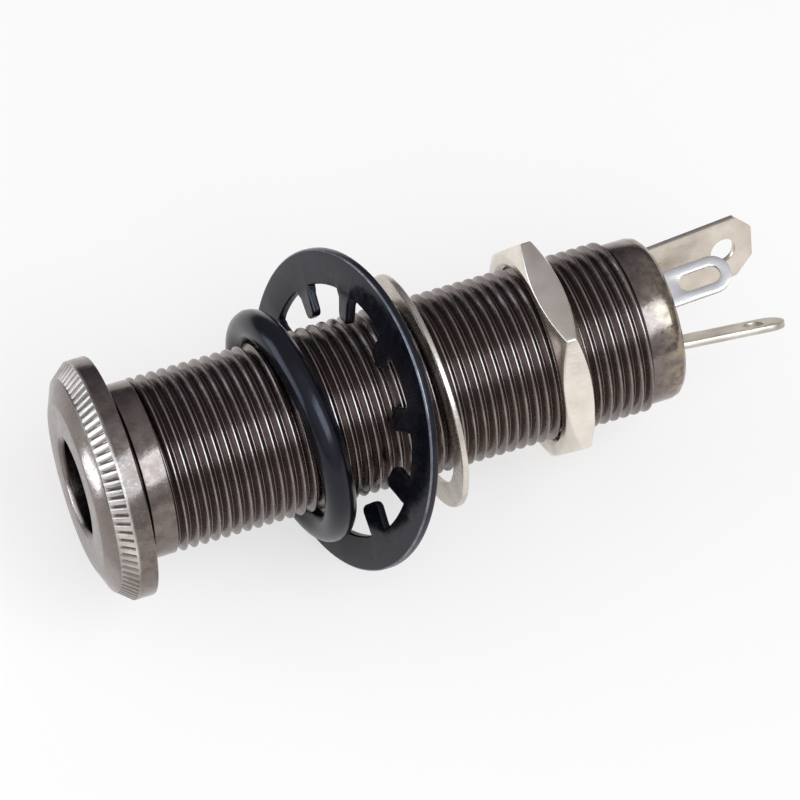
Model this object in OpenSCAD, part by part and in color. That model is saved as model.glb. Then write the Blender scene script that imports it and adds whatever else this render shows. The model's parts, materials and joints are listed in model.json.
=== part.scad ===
// Long threaded jack for a 6.35 mm plug, with its loose panel hardware.
// Millimetres. The panel seat (back of the flange) is the plane x = 0 and the
// barrel runs along +X from the flange to the solder lugs.

/* [Barrel] */
// Outside diameter of the thread
thread_d = 12; // [11.5:0.1:12.5]
// Distance from one turn of the thread to the next
thread_pitch = 0.75; // [0.6:0.05:0.9]
// Plain collar between the seat and the thread
collar_len = 2.1; // [1.5:0.1:3.5]
// Where the thread stops, measured from the seat
thread_end = 35.9; // [34.5:0.1:39]
// Plain neck behind the thread
neck_len = 2.6; // [2.2:0.1:3.2]
// How far the neck is turned below the thread's outside
neck_step = 0.35; // [0.25:0.05:0.4]
// Wall of the neck round the insulators
neck_wall = 0.65; // [0.5:0.05:0.7]
// Radius rolled onto the barrel's rear edge
rear_round = 0.85; // [0.5:0.05:0.9]
// Length of the rolled lip behind the insulators
lip_len = 1.0; // [0.6:0.1:1.2]
// How far the lip and the inner shoulder overhang the insulators
lip_over = 0.3; // [0.2:0.05:0.35]

/* [Flange] */
// Flange diameter
flange_d = 16.4; // [15.8:0.1:18]
// Whole height of the flange
flange_t = 3.0; // [2.7:0.1:3.6]
// Plain rim at the back of the flange
rim_t = 1.35; // [0.9:0.05:1.6]
// Diameter of the flat front face
face_d = 11.6; // [10.8:0.1:13]
// Inside diameter of the knurled band
knurl_in_d = 14.7; // [13.8:0.1:15.2]
// Height of the knurled band
knurl_h = 1.0; // [0.8:0.05:1.2]
// Number of knurl grooves round the band
knurl_count = 80; // [60:2:90]
// Depth of the knurl grooves
knurl_depth = 0.2; // [0.1:0.02:0.24]

/* [Socket] */
// Bore for the 6.35 mm plug
bore_d = 6.5; // [6.4:0.05:6.7]
// Chamfer at the mouth of the bore
mouth_chamfer = 0.3; // [0.1:0.05:0.5]
// Length of the close bore behind the seat
bushing_len = 11; // [8:0.5:12]
// Finger length of the plug, from its shoulder to its end
plug_len = 31.2; // [30:0.1:32]
// From the plug's end back to the groove of its tip
tip_back = 4.2; // [3.8:0.1:4.6]
// From the plug's end back to the middle of its ring
ring_back = 10.7; // [10:0.1:11.5]

/* [O-ring] */
// Thickness of the rubber cord
cord_d = 2.1; // [1.8:0.1:2.4]
// Clearance between the O-ring and the thread
oring_clear = 0.2; // [0.15:0.01:0.3]
// Middle of the O-ring, from the seat
oring_x = 12.05; // [7:0.05:12.5]

/* [Lock washer] */
// Outside diameter of the lock washer
lock_d = 22; // [20.6:0.2:25]
// Diameter at the roots of its teeth
lock_root_d = 17.2; // [16.4:0.2:18.4]
// Clearance between the tips of its teeth and the thread
lock_clear = 0.5; // [0.5:0.05:0.8]
// Sheet thickness of the lock washer
lock_t = 0.6; // [0.5:0.05:0.8]
// Number of teeth
lock_teeth = 10; // [8:1:12]
// Width of a tooth
tooth_w = 1.6; // [1.2:0.1:1.8]
// Rounding of the corners at the tip of a tooth
tooth_round = 0.4; // [0.2:0.05:0.5]
// Twist of the teeth out of the sheet
tooth_twist = 12; // [0:1:20]
// Turn of the lock washer about its own axis
lock_turn = 15; // [0:1:36]

/* [Flat washer] */
// Outside diameter of the flat washer
flat_d = 16.4; // [15.6:0.1:18]
// Clearance between the flat washer and the thread
flat_clear = 0.5; // [0.25:0.05:0.7]
// Thickness of the flat washer
flat_t = 0.45; // [0.35:0.05:0.8]
// From the middle of the lock washer to the middle of the flat washer
flat_back = 5.3; // [4.8:0.1:7]

/* [Nut] */
// Across the flats of the nut
nut_af = 14.3; // [14:0.1:16]
// Thickness of the nut
nut_t = 2.1; // [1.9:0.1:3.2]
// Front of the nut, from the seat
nut_x = 29; // [26:0.1:30]
// Running clearance between the nut and the thread
nut_clear = 0.05; // [0.02:0.01:0.1]

/* [Lugs] */
// Sheet thickness of the lugs
lug_t = 0.45; // [0.35:0.05:0.5]
// Width of the sleeve lug
sleeve_lug_w = 4.9; // [4.2:0.1:5.4]
// Width of the sleeve lug's neck, where it passes the barrel's lip
sleeve_neck_w = 3.4; // [2.8:0.1:3.5]
// Length of that neck behind the barrel
sleeve_neck_len = 0.5; // [0.3:0.1:1]
// Reach of the sleeve lug behind the barrel
sleeve_lug_len = 9.3; // [8:0.1:10.5]
// Cut across the corners of the sleeve lug
sleeve_cut = 1.3; // [0.8:0.1:1.6]
// Diameter of the sleeve lug's eye
sleeve_eye_d = 1.9; // [1.5:0.1:2.2]
// Middle of the sleeve lug's eye, from its end
sleeve_eye_in = 2.3; // [1.9:0.1:2.8]
// Outward lean of the sleeve lug
sleeve_splay = 7; // [0:1:9]
// Outer face of the sleeve lug, inside the barrel's lip
sleeve_lug_in = 0.4; // [0.35:0.05:0.8]
// Width of the ring lug
ring_lug_w = 2.6; // [2.2:0.1:2.8]
// Reach of the ring lug behind the barrel
ring_lug_len = 4.6; // [4.2:0.1:5.4]
// Length of the ring lug's long eye
ring_eye_len = 2.9; // [2:0.05:3]
// Width of the ring lug's long eye
ring_eye_w = 1.25; // [1:0.05:1.5]
// End of the long eye, from the end of the ring lug
ring_eye_in = 0.75; // [0.6:0.05:1]
// Outward lean of the ring lug
ring_splay = 8; // [0:1:10]
// Outer face of the ring lug, inside the barrel's lip
ring_lug_in = 0.35; // [0.3:0.05:0.8]
// Width of the tip lug
tip_lug_w = 2.6; // [2.2:0.1:2.9]
// Reach of the tip lug behind the barrel
tip_lug_len = 8.8; // [7.5:0.1:10]
// Diameter of the tip lug's eye
tip_eye_d = 1.4; // [1:0.1:1.6]
// Middle of the tip lug's eye, from its end
tip_eye_in = 2.2; // [1.5:0.1:2.8]
// Outward lean of the tip lug
tip_splay = 5; // [0:1:8]
// Outer face of the tip lug, inside the barrel's lip
tip_lug_in = 2.3; // [1.8:0.1:2.6]
// Top of the feet of the ring and tip lugs, inside the barrel's wall
foot_in = 0.2; // [0.15:0.05:0.4]

/* [Insulators] */
// Thickness of the front insulator
front_disc_t = 1.8; // [1.4:0.1:2.2]
// Thickness of the rear insulator
rear_disc_t = 2.5; // [2:0.1:3]

/* [Contact blades] */
// Sheet thickness of the contact blades
blade_t = 0.3; // [0.2:0.05:0.35]
// Outer face of the blades at their roots, inside the barrel's wall
blade_in = 0.8; // [0.7:0.05:1]
// Width of the contact blades
blade_w = 2.4; // [1.8:0.1:2.7]
// Inside radius of the bend that touches the plug
blade_bend = 0.8; // [0.5:0.1:1.2]
// Length of the turned-out lead at the free end
blade_lead = 1.7; // [1.4:0.1:2]
// Rise of the turned-out lead
blade_rise = 0.75; // [0.6:0.05:0.8]
// Distance of the tip contact from the axis
tip_touch_r = 2.5; // [2.4:0.05:2.8]
// Distance of the ring contact from the axis
ring_touch_r = 2.7; // [2.5:0.05:2.9]

/* [Hidden] */
$fn = 96;

// Colours
black_nickel = [0.20, 0.18, 0.17];
bright_nickel = [0.74, 0.71, 0.65];
tinned = [0.80, 0.79, 0.77];
rubber_black = [0.06, 0.06, 0.07];
black_oxide = [0.10, 0.10, 0.11];
laminate = [0.36, 0.20, 0.11];
spring_metal = [0.78, 0.70, 0.52];

// Small clearances
rest_gap = 0.02;
disc_gap = 0.02;
slot_gap = 0.05;
blade_gap = 0.09;
collar_step = 0.05;

// Barrel radii
major_r = thread_d / 2;
root_r = major_r - 0.61 * thread_pitch;
collar_r = major_r - collar_step;
neck_r = major_r - neck_step;
seat_r = neck_r - neck_wall;
chamber_r = seat_r - lip_over;
lip_r = seat_r - lip_over;
bore_r = bore_d / 2;
flange_r = flange_d / 2;
face_r = face_d / 2;
knurl_in_r = knurl_in_d / 2;
knurl_in_x = -rim_t - knurl_h;
knurl_inset = 0.1;

// Places along the barrel
rear_x = thread_end + neck_len;
foot_x = rear_x - lip_len - rear_disc_t;
stack_x = foot_x - front_disc_t;
turns = floor((thread_end - collar_len) / thread_pitch);
thread_start = thread_end - turns * thread_pitch;

// Lugs: turned position round the axis, and radius of the outer face
sleeve_lug_at = -14;
ring_lug_at = 107;
tip_lug_at = 232;
sleeve_lug_r = lip_r - sleeve_lug_in;
ring_lug_r = lip_r - ring_lug_in;
tip_lug_r = lip_r - tip_lug_in;
foot_r = chamber_r - foot_in;

// Contact blades
blade_root_r = chamber_r - blade_in;
blade_foot_r = blade_root_r - 2 * blade_t;
tip_touch_x = plug_len - flange_t - tip_back;
ring_touch_x = plug_len - flange_t - ring_back;

// Loose rings: each leans down towards the rear, then sideways
oring_lean = [0, -1, 7.2];
lock_lean = [0, 15.4, 9.2];
flat_lean = [0, -1.1, 2.2];
function facing(lean) = [
  cos(lean[1]) * cos(lean[2]),
  cos(lean[1]) * sin(lean[2]),
  -sin(lean[1])
];

// The lock washer stands off the O-ring just far enough for its teeth to rest on it
oring_r = major_r + oring_clear + cord_d / 2;
lock_tip_r = major_r + lock_clear;
tooth_out = tooth_w / 2 * sin(tooth_twist) + lock_t / 2 * cos(tooth_twist);
lean_between = acos(facing(oring_lean) * facing(lock_lean));
lock_x = oring_x
  + (oring_r * sin(lean_between) + cord_d / 2 + tooth_out + rest_gap) / facing(lock_lean)[0];
flat_x = lock_x + flat_back;

// Turns a profile drawn as [radius, x] about the barrel's axis
module turned(profile) {
  rotate([0, 90, 0])
    rotate_extrude()
      polygon(profile);
}

// Plain cylinder along the axis
module rod(r, x0, x1) {
  translate([x0, 0, 0])
    rotate([0, 90, 0])
      cylinder(r = r, h = x1 - x0);
}

// Turns children so that their +Z points outwards at this angle round the axis
module at_angle(a) {
  rotate([a - 90, 0, 0])
    children();
}

// Ridges of the thread, one for each turn
function thread_profile() = [
  for (i = [0 : turns - 1])
    let (x = thread_start + i * thread_pitch)
    each [
      [root_r, x + 0.06 * thread_pitch],
      [major_r, x + 0.45 * thread_pitch],
      [major_r, x + 0.61 * thread_pitch],
      [root_r, x + thread_pitch]
    ]
];

function rear_round_profile() = [
  for (a = [0 : 15 : 90])
    [neck_r - rear_round + rear_round * cos(a), rear_x - rear_round + rear_round * sin(a)]
];

// Outline of the barrel from the mouth of the bore to the rear lip and back inside
function barrel_profile() = concat(
  [
    [bore_r + mouth_chamfer, -flange_t],
    [face_r, -flange_t],
    [knurl_in_r, knurl_in_x],
    [flange_r, -rim_t],
    [flange_r, 0],
    [collar_r, 0],
    [collar_r, thread_start]
  ],
  thread_profile(),
  [[neck_r, thread_end + 0.05]],
  rear_round_profile(),
  [
    [lip_r, rear_x],
    [lip_r, rear_x - lip_len],
    [seat_r, rear_x - lip_len],
    [seat_r, stack_x],
    [chamber_r, stack_x],
    [chamber_r, bushing_len + chamber_r - bore_r],
    [bore_r, bushing_len],
    [bore_r, -flange_t + mouth_chamfer]
  ]
);

// Straight grooves cut down the outer part of the bevel
module knurl_cuts() {
  rise = flange_r - knurl_in_r;
  slope = atan2(rise, knurl_h);
  band = sqrt(rise * rise + knurl_h * knurl_h);
  side = knurl_depth * sqrt(2);
  for (i = [0 : knurl_count - 1])
    rotate([i * 360 / knurl_count, 0, 0])
      translate([knurl_in_x, 0, knurl_in_r])
        rotate([0, -slope, 0])
          translate([knurl_inset, 0, 0])
            rotate([45, 0, 0])
              translate([0, -side / 2, -side / 2])
                cube([band + 2 * knurl_depth, side, side]);
}

module barrel() {
  color(black_nickel)
    difference() {
      turned(barrel_profile());
      knurl_cuts();
    }
}

// Rubber ring leaning on the thread and hanging from it
module o_ring() {
  drop = 0.8 * oring_clear;
  color(rubber_black)
    translate([oring_x, 0, -drop])
      rotate(oring_lean)
        rotate([0, 90, 0])
          rotate_extrude()
            translate([oring_r, 0])
              circle(d = cord_d, $fn = 48);
}

// One twisted tooth of the lock washer, pointing inwards from the ring
module lock_tooth() {
  reach = lock_root_d / 2 - lock_tip_r + lock_t / 2;
  corner_y = tooth_w / 2 - tooth_round;
  translate([0, 0, lock_tip_r])
    rotate([0, 0, -tooth_twist])
      union() {
        translate([-lock_t / 2, -tooth_w / 2, tooth_round])
          cube([lock_t, tooth_w, reach - tooth_round]);
        translate([-lock_t / 2, -corner_y, 0])
          cube([lock_t, 2 * corner_y, reach]);
        for (side = [-1, 1])
          translate([-lock_t / 2, side * corner_y, tooth_round])
            rotate([0, 90, 0])
              cylinder(r = tooth_round, h = lock_t, $fn = 32);
      }
}

// Black lock washer leaning on the thread and on the O-ring
module lock_washer() {
  lean = abs(lock_lean[1]);
  drop = lock_tip_r * cos(lean) - tooth_out * sin(lean) - major_r - rest_gap;
  color(black_oxide)
    translate([lock_x, 0, -drop])
      rotate(lock_lean)
        union() {
          difference() {
            rod(lock_d / 2, -lock_t / 2, lock_t / 2);
            rod(lock_root_d / 2, -lock_t, lock_t);
          }
          for (i = [0 : lock_teeth - 1])
            rotate([lock_turn + i * 360 / lock_teeth, 0, 0])
              lock_tooth();
        }
}

// Nickel flat washer hanging from the top of the thread
module flat_washer() {
  flat_ir = major_r + flat_clear;
  drop = flat_ir * cos(flat_lean[1]) - flat_t / 2 * sin(abs(flat_lean[1])) - major_r - rest_gap;
  color(bright_nickel)
    translate([flat_x, 0, -drop])
      rotate(flat_lean)
        difference() {
          rod(flat_d / 2, -flat_t / 2, flat_t / 2);
          rod(flat_ir, -flat_t, flat_t);
        }
}

// Hex nut with the corners turned off at thirty degrees on both sides
module hex_nut() {
  corner_r = nut_af / sqrt(3);
  edge = 0.15;
  crown_r = nut_af / 2 - edge;
  corner_cut = (corner_r + edge - crown_r) * tan(30);
  nut_bore_r = major_r + nut_clear;
  sink = 2 * edge;
  color(bright_nickel)
    difference() {
      intersection() {
        translate([nut_x, 0, 0])
          rotate([97, 0, 0])
            rotate([0, 90, 0])
              cylinder(r = corner_r, h = nut_t, $fn = 6);
        turned([
          [0, nut_x],
          [crown_r, nut_x],
          [corner_r + edge, nut_x + corner_cut],
          [corner_r + edge, nut_x + nut_t - corner_cut],
          [crown_r, nut_x + nut_t],
          [0, nut_x + nut_t]
        ]);
      }
      rod(nut_bore_r, nut_x - nut_t, nut_x + 2 * nut_t);
      turned([
        [0, nut_x - nut_t],
        [nut_bore_r + nut_t + sink, nut_x - nut_t],
        [nut_bore_r, nut_x + sink],
        [0, nut_x + sink]
      ]);
    }
}

// Slot for a strip whose outer face is at radius r
module strip_slot(a, r, w, t, gap, x0, x1) {
  at_angle(a)
    translate([x0, -w / 2 - gap, r - t - gap])
      cube([x1 - x0, w + 2 * gap, t + 2 * gap]);
}

// Disc in front of the lugs; the two blades pass through it
module front_insulator() {
  color(laminate)
    difference() {
      rod(seat_r - disc_gap, stack_x, foot_x);
      for (a = [ring_lug_at, tip_lug_at])
        strip_slot(a, blade_root_r, blade_w, blade_t, blade_gap, stack_x - 1, foot_x + 1);
    }
}

// Disc behind, with a pocket for the foot of each lug and a slot for its strip
module rear_insulator() {
  color(laminate)
    difference() {
      rod(seat_r - disc_gap, foot_x, rear_x - lip_len);
      for (lug = [
        [sleeve_lug_at, sleeve_lug_r, sleeve_neck_w, sleeve_lug_r - lug_t, seat_r + 1],
        [ring_lug_at, ring_lug_r, ring_lug_w, blade_foot_r, foot_r],
        [tip_lug_at, tip_lug_r, tip_lug_w, tip_lug_r - lug_t, foot_r]
      ]) {
        strip_slot(lug[0], lug[1], lug[2], lug_t, slot_gap, foot_x - 1, rear_x);
        at_angle(lug[0])
          translate([foot_x - 1, -lug[2] / 2 - slot_gap, lug[3] - slot_gap])
            cube([1 + lug_t + slot_gap, lug[2] + 2 * slot_gap, lug[4] - lug[3] + 2 * slot_gap]);
      }
    }
}

// Bent lug: a foot between the discs, a strip through the rear disc, and the free end.
// The free end's outline is the child, drawn from the bend along +X.
module bent_lug(a, r, w, foot_from, foot_to, splay) {
  at_angle(a)
    union() {
      translate([foot_x, -w / 2, foot_from])
        cube([lug_t, w, foot_to - foot_from]);
      translate([foot_x, -w / 2, r - lug_t])
        cube([rear_x - foot_x, w, lug_t]);
      translate([rear_x, 0, r - lug_t / 2]) {
        rotate([90, 0, 0])
          cylinder(d = lug_t, h = w, center = true, $fn = 24);
        rotate([0, -splay, 0])
          translate([0, 0, -lug_t / 2])
            linear_extrude(lug_t)
              children();
      }
    }
}

// Free end with a neck, two cut corners and a round eye
module cut_end(len, w, neck_w, neck_len, cut, eye_d, eye_in) {
  widen = neck_len + (w - neck_w) / 2;
  difference() {
    polygon([
      [0, -neck_w / 2],
      [neck_len, -neck_w / 2],
      [widen, -w / 2],
      [len - cut, -w / 2],
      [len, -w / 2 + cut],
      [len, w / 2 - cut],
      [len - cut, w / 2],
      [widen, w / 2],
      [neck_len, neck_w / 2],
      [0, neck_w / 2]
    ]);
    translate([len - eye_in, 0])
      circle(d = eye_d, $fn = 48);
  }
}

// Free end with a round tip
module round_end(len, w) {
  translate([0, -w / 2])
    square([len - w / 2, w]);
  translate([len - w / 2, 0])
    circle(d = w, $fn = 48);
}

// Long eye with round ends
module long_eye(x0, x1, d) {
  translate([x0 + d / 2, -d / 2])
    square([x1 - x0 - d, d]);
  for (x = [x0 + d / 2, x1 - d / 2])
    translate([x, 0])
      circle(d = d, $fn = 32);
}

// Wide lug whose foot reaches out to the barrel's wall
module sleeve_lug() {
  color(bright_nickel)
    intersection() {
      bent_lug(sleeve_lug_at, sleeve_lug_r, sleeve_neck_w, sleeve_lug_r - lug_t, seat_r + 1, sleeve_splay)
        cut_end(sleeve_lug_len, sleeve_lug_w, sleeve_neck_w, sleeve_neck_len, sleeve_cut,
                sleeve_eye_d, sleeve_eye_in);
      union() {
        rod(seat_r - disc_gap / 2, foot_x - 1, rear_x - lip_len);
        rod(3 * major_r, rear_x - lip_len, rear_x + 2 * sleeve_lug_len);
      }
    }
}

module ring_lug() {
  color(tinned)
    bent_lug(ring_lug_at, ring_lug_r, ring_lug_w, blade_foot_r, foot_r, ring_splay)
      difference() {
        round_end(ring_lug_len, ring_lug_w);
        long_eye(ring_lug_len - ring_eye_in - ring_eye_len, ring_lug_len - ring_eye_in, ring_eye_w);
      }
}

module tip_lug() {
  color(tinned)
    bent_lug(tip_lug_at, tip_lug_r, tip_lug_w, tip_lug_r - lug_t, foot_r, tip_splay)
      difference() {
        round_end(tip_lug_len, tip_lug_w);
        translate([tip_lug_len - tip_eye_in, 0])
          circle(d = tip_eye_d, $fn = 48);
      }
}

// Inner line of a contact blade, from its root forward: it slopes in to the rounded bend
// that touches the plug, then turns out so that the plug can push it aside
function blade_line(touch_x, touch_r) =
  let (
    root = blade_root_r - blade_t,
    slope = atan2(root - touch_r, stack_x - touch_x)
  )
  concat(
    [[foot_x - rest_gap, root], [stack_x - blade_t, root]],
    [
      for (i = [0 : 8])
        let (a = slope - (slope + 30) * i / 8)
        [touch_x + blade_bend * sin(a), touch_r + blade_bend * (1 - cos(a))]
    ],
    [[touch_x - blade_lead, touch_r + blade_rise]]
  );

module blade(a, touch_x, touch_r) {
  line = blade_line(touch_x, touch_r);
  outline = concat(
    line,
    [for (i = [len(line) - 1 : -1 : 0]) [line[i][0], line[i][1] + blade_t]]
  );
  color(spring_metal)
    at_angle(a)
      rotate([90, 0, 0])
        linear_extrude(blade_w, center = true)
          polygon(outline);
}

module ring_blade() {
  blade(ring_lug_at, ring_touch_x, ring_touch_r);
}

module tip_blade() {
  blade(tip_lug_at, tip_touch_x, tip_touch_r);
}

barrel();
o_ring();
lock_washer();
flat_washer();
hex_nut();
front_insulator();
rear_insulator();
sleeve_lug();
ring_lug();
tip_lug();
ring_blade();
tip_blade();
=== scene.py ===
# %% [markdown]
# # A long panel jack and its loose hardware
#
# The real object is a black-nickel barrel that a 6.35 mm plug slides into. A rubber ring,
# a toothed washer, a plain washer and a hex nut hang loosely on its thread, and three
# solder lugs stick out behind. The solids are already exact, so this lesson only adds what
# solids leave out: the true helix, rounded edges and finishes. Lengths are typed in
# millimetres and multiplied by MM, because Blender and the solids work in metres.

# %% Load the solids
import json
import math

import bmesh
import bpy
from mathutils import Matrix, Vector

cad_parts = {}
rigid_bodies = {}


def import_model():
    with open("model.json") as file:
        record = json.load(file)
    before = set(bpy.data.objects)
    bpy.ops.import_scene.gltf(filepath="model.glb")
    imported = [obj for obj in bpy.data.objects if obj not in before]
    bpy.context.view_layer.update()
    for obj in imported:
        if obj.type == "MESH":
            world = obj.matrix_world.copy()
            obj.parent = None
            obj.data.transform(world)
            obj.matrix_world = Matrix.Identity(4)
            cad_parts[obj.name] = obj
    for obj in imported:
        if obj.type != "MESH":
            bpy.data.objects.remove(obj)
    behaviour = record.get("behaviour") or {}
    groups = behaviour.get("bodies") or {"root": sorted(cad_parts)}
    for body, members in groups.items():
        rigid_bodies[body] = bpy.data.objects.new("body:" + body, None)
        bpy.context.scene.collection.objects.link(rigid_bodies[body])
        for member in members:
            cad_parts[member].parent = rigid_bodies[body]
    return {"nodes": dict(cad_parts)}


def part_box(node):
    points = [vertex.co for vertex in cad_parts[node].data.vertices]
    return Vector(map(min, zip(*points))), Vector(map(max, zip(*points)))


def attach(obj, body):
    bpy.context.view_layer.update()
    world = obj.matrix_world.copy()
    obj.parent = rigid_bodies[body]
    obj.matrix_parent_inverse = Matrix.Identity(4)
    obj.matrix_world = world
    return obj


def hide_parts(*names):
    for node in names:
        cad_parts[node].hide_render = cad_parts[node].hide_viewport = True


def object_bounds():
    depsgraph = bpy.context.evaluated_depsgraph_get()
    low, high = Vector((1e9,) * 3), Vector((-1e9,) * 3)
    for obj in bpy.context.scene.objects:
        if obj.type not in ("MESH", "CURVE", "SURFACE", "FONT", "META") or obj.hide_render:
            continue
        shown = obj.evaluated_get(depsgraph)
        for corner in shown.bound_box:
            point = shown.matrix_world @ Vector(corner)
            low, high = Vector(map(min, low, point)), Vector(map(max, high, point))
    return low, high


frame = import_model()
solid_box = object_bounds()
MM = 0.001
AXIS = Vector((1, 0, 0))
CENTRE = Vector((0, 0, 0))
print("solids:", sorted(frame["nodes"]))

# %% [markdown]
# ## Finishes are small trees of nodes
#
# Metal, rubber and laminate all differ the same way up close: the colour drifts, the gloss
# changes from patch to patch, and the surface is not quite flat. Painted pictures could
# show that, but they need an unwrapped mesh. Noise that reads Object coordinates needs
# none, and it stays on its piece when the piece moves. The first finish is the black nickel
# of the barrel, and its helpers serve all the others.

# %% Start the black nickel
def new_finish(name, metal, gloss_tint=(1, 1, 1)):
    """A material, its tree of nodes and its shader."""
    finish = bpy.data.materials.new(name)
    finish.use_nodes = True
    tree = finish.node_tree
    shader = tree.nodes["Principled BSDF"]
    shader.inputs["Metallic"].default_value = metal
    shader.inputs["Specular Tint"].default_value = (*gloss_tint, 1)
    return finish, tree, shader


def lay_out(tree, stretch=(1, 1, 1)):
    """Places on the piece. A stretch below 1 makes a pattern run long that way."""
    where = tree.nodes.new("ShaderNodeTexCoord")
    mapping = tree.nodes.new("ShaderNodeMapping")
    mapping.inputs["Scale"].default_value = stretch
    tree.links.new(where.outputs["Object"], mapping.inputs["Vector"])
    return mapping.outputs["Vector"]


plate_black, plate_tree, plate_shader = new_finish("black_nickel_plate", metal=1.0)
plate_where = lay_out(plate_tree)
print("finish:", plate_black.name)

# %% [markdown]
# ## The colour of black nickel
#
# The barrel is plated brass. Black nickel is a dark mirror with a warm brown cast, thicker
# in one place and thinner in another, so its colour drifts over a few millimetres. Fine
# pale specks break up the gloss. Two sizes of noise give both, and a single colour would
# look like plastic.

# %% Let the colour drift
PLATE_DRIFT = 2.6


def clouds(tree, where, size, detail=4.0):
    """Soft noise whose lumps are about this many millimetres across."""
    noise = tree.nodes.new("ShaderNodeTexNoise")
    noise.inputs["Scale"].default_value = 1 / (size * MM)
    noise.inputs["Detail"].default_value = detail
    tree.links.new(where, noise.inputs["Vector"])
    return noise.outputs["Fac"]


def colour_steps(tree, amount, steps):
    """Colours at places from 0 to 1 along an amount."""
    ramp = tree.nodes.new("ShaderNodeValToRGB")
    stops = ramp.color_ramp.elements
    for place, _ in steps[1:-1]:
        stops.new(place)
    for stop, (place, colour) in zip(stops, steps):
        stop.position = place
        stop.color = (*colour, 1)
    tree.links.new(amount, ramp.inputs["Fac"])
    return ramp.outputs["Color"]


plate = colour_steps(plate_tree, clouds(plate_tree, plate_where, PLATE_DRIFT), [
    (0.30, (0.150, 0.127, 0.118)),
    (0.52, (0.195, 0.165, 0.151)),
    (0.72, (0.250, 0.210, 0.190)),
])
print("plate drifts over", PLATE_DRIFT, "mm")

# %% Add fine specks
SPECK_SIZE = 0.16


def rescale(tree, amount, before, after):
    """Move an amount from one range to another, and hold it at the ends."""
    scale = tree.nodes.new("ShaderNodeMapRange")
    for socket, value in zip(("From Min", "From Max", "To Min", "To Max"), (*before, *after)):
        scale.inputs[socket].default_value = value
    tree.links.new(amount, scale.inputs["Value"])
    return scale.outputs["Result"]


def mix_colours(tree, amount, low, high):
    """The first colour where the amount is 0, and the second where it is 1."""
    mix = tree.nodes.new("ShaderNodeMix")
    mix.data_type = "RGBA"
    colours = [socket for socket in mix.inputs if socket.type == "RGBA"]
    tree.links.new(amount, mix.inputs[0])
    for socket, colour in zip(colours, (low, high)):
        if isinstance(colour, tuple):
            socket.default_value = (*colour, 1)
        else:
            tree.links.new(colour, socket)
    return next(socket for socket in mix.outputs if socket.type == "RGBA")


specks = rescale(plate_tree, clouds(plate_tree, plate_where, SPECK_SIZE), (0.55, 0.72), (0, 0.5))
plate = mix_colours(plate_tree, specks, plate, (0.33, 0.29, 0.27))
print("specks of", SPECK_SIZE, "mm")

# %% [markdown]
# ## Wear and painted shade are placed by measuring
#
# Everything that a lathe, a die or a nut does to a barrel goes round its axis. So wear is
# placed by two numbers: how far along the axis, and how far from it. Object coordinates
# give both. A mask painted by hand would be just as good until a size changes, while a
# measured one follows the sizes. Handling leaves brown stains from the rim backwards, the
# grooves of the thread get painted shade, with fine lines that the die scored, and rubbing
# leaves the crests pale.

# %% Measure along the axis and from it
def along_axis(tree, where, axis="X"):
    split = tree.nodes.new("ShaderNodeSeparateXYZ")
    tree.links.new(where, split.inputs["Vector"])
    return split.outputs[axis]


def from_axis(tree, where):
    across = tree.nodes.new("ShaderNodeVectorMath")
    across.operation = "MULTIPLY"
    across.inputs[1].default_value = (0, 1, 1)
    tree.links.new(where, across.inputs[0])
    length = tree.nodes.new("ShaderNodeVectorMath")
    length.operation = "LENGTH"
    tree.links.new(across.outputs["Vector"], length.inputs[0])
    return length.outputs["Value"]


def on_outline(tree, along, radius):
    """The place on a turned outline: the same all the way round."""
    place = tree.nodes.new("ShaderNodeCombineXYZ")
    tree.links.new(along, place.inputs["X"])
    tree.links.new(radius, place.inputs["Y"])
    return place.outputs["Vector"]


plate_along = along_axis(plate_tree, plate_where)
plate_radius = from_axis(plate_tree, plate_where)
plate_outline = on_outline(plate_tree, plate_along, plate_radius)
print("plate is measured by", plate_along.name, "and the", plate_radius.node.operation, "across it")

# %% Stain the rim and all behind it
RIM_X, STAIN_FADE, STAIN_SIZE = -1.35, 0.1, 0.8


def times(tree, first, second):
    product = tree.nodes.new("ShaderNodeMath")
    product.operation = "MULTIPLY"
    for socket, amount in zip(product.inputs, (first, second)):
        tree.links.new(amount, socket)
    return product.outputs["Value"]


def fade(tree, place, first, last, after=(0, 1)):
    """Fade from one amount to another between two places in millimetres."""
    return rescale(tree, place, (first * MM, last * MM), after)


stains = rescale(plate_tree, clouds(plate_tree, plate_where, STAIN_SIZE, detail=6.0),
                 (0.45, 0.65), (0, 0.55))
from_rim = fade(plate_tree, plate_along, RIM_X - STAIN_FADE, RIM_X + STAIN_FADE)
plate = mix_colours(plate_tree, times(plate_tree, from_rim, stains), plate, (0.115, 0.085, 0.070))
print("brown stains of", STAIN_SIZE, "mm from x =", RIM_X, "mm")

# %% Paint shade into the grooves and score them
THREAD_START, THREAD_END, THREAD_R = 2.15, 35.9, 6.0
THREAD_FADE_IN = (THREAD_START - 0.15, THREAD_START + 0.1)
THREAD_FADE_OUT = (THREAD_END - 0.2, THREAD_END + 0.05)
GROOVE_R, FLANK_R, CREST_R = THREAD_R - 0.1, THREAD_R - 0.025, THREAD_R - 0.004
DIE_LINE = 0.05


def between(tree, place, fade_in, fade_out):
    """1 between two places with soft ends, and 0 elsewhere."""
    return times(tree, fade(tree, place, *fade_in), fade(tree, place, *fade_out, after=(1, 0)))


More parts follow.
